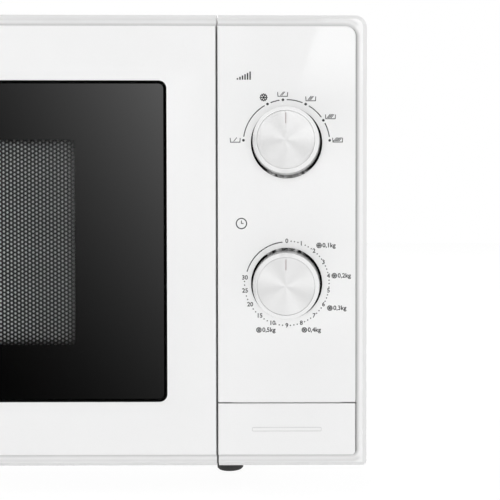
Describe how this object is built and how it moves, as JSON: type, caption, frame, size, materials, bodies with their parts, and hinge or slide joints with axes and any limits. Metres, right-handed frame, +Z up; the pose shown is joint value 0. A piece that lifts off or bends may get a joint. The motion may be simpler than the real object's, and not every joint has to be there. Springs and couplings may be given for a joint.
{
  "type": "microwave oven",
  "caption": "Counter-top microwave oven with a side-hinged glass door, two turning dials, a push-button door release and a rotating glass turntable.",
  "frame": {"origin": "middle of the overall box in plan, on the level of the feet", "axes": "+X to the right of a person facing the door, +Y from the front to the back, +Z up"},
  "size_m": [0.44, 0.357, 0.2605],
  "materials": {
    "white_moulding": "satin gloss",
    "white_enamel": "powder coat",
    "cavity_enamel": "grey enamel",
    "door_glass": "polished, dark printed",
    "screen_steel": "black coated perforated steel",
    "black_moulding": "satin",
    "clear_film": "clear sheet",
    "zinc_steel": "zinc plated",
    "knob_side": "bright silver plated plastic",
    "knob_cap": "spun",
    "foot_rubber": "matt",
    "grey_moulding": "satin",
    "spring_steel": "bright wire",
    "copper_winding": "varnished wire",
    "core_iron": "varnished laminations",
    "aluminium": "bare",
    "ferrite": "sintered",
    "mica": "mica sheet",
    "table_glass": "pressed glass",
    "nylon": "moulded nylon",
    "lamp_glass": "clear lamp and ceramic holder",
    "circuit_board": "paper laminate with parts"
  },
  "bodies": {
    "cabinet": {"outer_cover": "white_enamel", "base_plate": "zinc_steel", "rear_panel": "zinc_steel", "front_plate": "cavity_enamel", "feet": "foot_rubber", "cover_screws": "zinc_steel", "cord_gland": "black_moulding", "cavity_wrap": "cavity_enamel", "cavity_floor": "cavity_enamel", "cavity_back": "cavity_enamel", "waveguide": "zinc_steel", "waveguide_cover": "mica", "magnetron_yoke": "zinc_steel", "magnetron_magnets": "ferrite", "magnetron_core": "aluminium", "magnetron_antenna": "zinc_steel", "magnetron_filter_box": "zinc_steel", "transformer_core": "core_iron", "transformer_windings": "copper_winding", "hv_capacitor": "aluminium", "capacitor_clamp": "zinc_steel", "hv_diode": "black_moulding", "fan_housing": "grey_moulding", "fan_motor": "core_iron", "cavity_lamp": "lamp_glass", "thermal_cutouts": "black_moulding", "filter_board": "circuit_board", "hinge_brackets": "zinc_steel", "control_panel": "white_moulding", "power_selector": "grey_moulding", "timer_body": "grey_moulding", "interlock_bracket": "grey_moulding", "interlock_switches": "black_moulding", "turntable_motor": "zinc_steel"},
    "door": {"door_frame": "white_moulding", "door_glass": "door_glass", "glass_seal": "foot_rubber", "door_screen": "screen_steel", "door_film": "clear_film", "choke_cover": "black_moulding"},
    "latch": {"door_latch": "grey_moulding", "latch_spring": "spring_steel"},
    "button": {"door_button": "white_moulding", "button_spring": "spring_steel"},
    "lever": {"release_lever": "grey_moulding"},
    "power_dial": {"power_knob": "knob_side", "power_knob_cap": "knob_cap", "power_shaft": "zinc_steel"},
    "timer_dial": {"timer_knob": "knob_side", "timer_knob_cap": "knob_cap", "timer_shaft": "zinc_steel"},
    "turntable": {"turntable_plate": "table_glass", "turntable_coupler": "nylon", "turntable_shaft": "nylon"},
    "ring": {"roller_ring": "nylon"},
    "wheel_1": {"roller_1": "nylon"},
    "wheel_2": {"roller_2": "nylon"},
    "wheel_3": {"roller_3": "nylon"},
    "fan": {"fan_blade": "grey_moulding", "fan_shaft": "zinc_steel"}
  },
  "joints": [
    {"name": "door_swing", "type": "hinge", "parent": "cabinet", "child": "door", "pos_m": [-0.211, -0.1375, 0.13685], "axis": [0, 0, -1], "range_deg": [0, 100]},
    {"name": "button_press", "type": "slide", "parent": "cabinet", "child": "button", "axis": [0, 1, 0], "range_m": [0, 0.005], "stiffness_N_per_m": 600, "springref_m": -0.006, "deforming": ["button_spring"]},
    {"name": "latch_slide", "type": "slide", "parent": "door", "child": "latch", "axis": [0, 0, 1], "range_m": [0, 0.00395], "deforming": ["latch_spring"]},
    {"name": "lever_turn", "type": "hinge", "parent": "cabinet", "child": "lever", "pos_m": [0.1266, -0.1155, 0.058], "axis": [1, 0, 0], "range_deg": [0, 13.12]},
    {"name": "power_turn", "type": "hinge", "parent": "cabinet", "child": "power_dial", "pos_m": [0.17615, -0.1565, 0.1904], "axis": [0, 1, 0], "range_deg": [-90, 90]},
    {"name": "timer_turn", "type": "hinge", "parent": "cabinet", "child": "timer_dial", "pos_m": [0.17615, -0.1565, 0.1143], "axis": [0, 1, 0], "range_deg": [0, 280]},
    {"name": "turntable_spin", "type": "hinge", "parent": "cabinet", "child": "turntable", "pos_m": [-0.048, 0.0205, 0.0536], "axis": [0, 0, 1], "continuous": true},
    {"name": "ring_spin", "type": "hinge", "parent": "cabinet", "child": "ring", "pos_m": [-0.048, 0.0205, 0.0458], "axis": [0, 0, 1], "continuous": true},
    {"name": "fan_spin", "type": "hinge", "parent": "cabinet", "child": "fan", "pos_m": [0.161, 0.1357, 0.172], "axis": [0, 1, 0], "continuous": true},
    {"name": "wheel_1_spin", "type": "hinge", "parent": "ring", "child": "wheel_1", "pos_m": [0.04, 0.0205, 0.0458], "axis": [1, 0, 0], "continuous": true},
    {"name": "wheel_2_spin", "type": "hinge", "parent": "ring", "child": "wheel_2", "pos_m": [-0.092, 0.09671, 0.0458], "axis": [-0.5, 0.866, 0], "continuous": true},
    {"name": "wheel_3_spin", "type": "hinge", "parent": "ring", "child": "wheel_3", "pos_m": [-0.092, -0.05571, 0.0458], "axis": [-0.5, -0.866, 0], "continuous": true}
  ],
  "couplings": [
    {"joint": "latch_slide", "follows": "button_press", "ratio": 0.78},
    {"joint": "lever_turn", "follows": "button_press", "rad_per_m": 45.455},
    {"joint": "ring_spin", "follows": "turntable_spin", "ratio": 0.5},
    {"joint": "wheel_1_spin", "follows": "turntable_spin", "ratio": -5.8667},
    {"joint": "wheel_2_spin", "follows": "turntable_spin", "ratio": -5.8667},
    {"joint": "wheel_3_spin", "follows": "turntable_spin", "ratio": -5.8667}
  ]
}
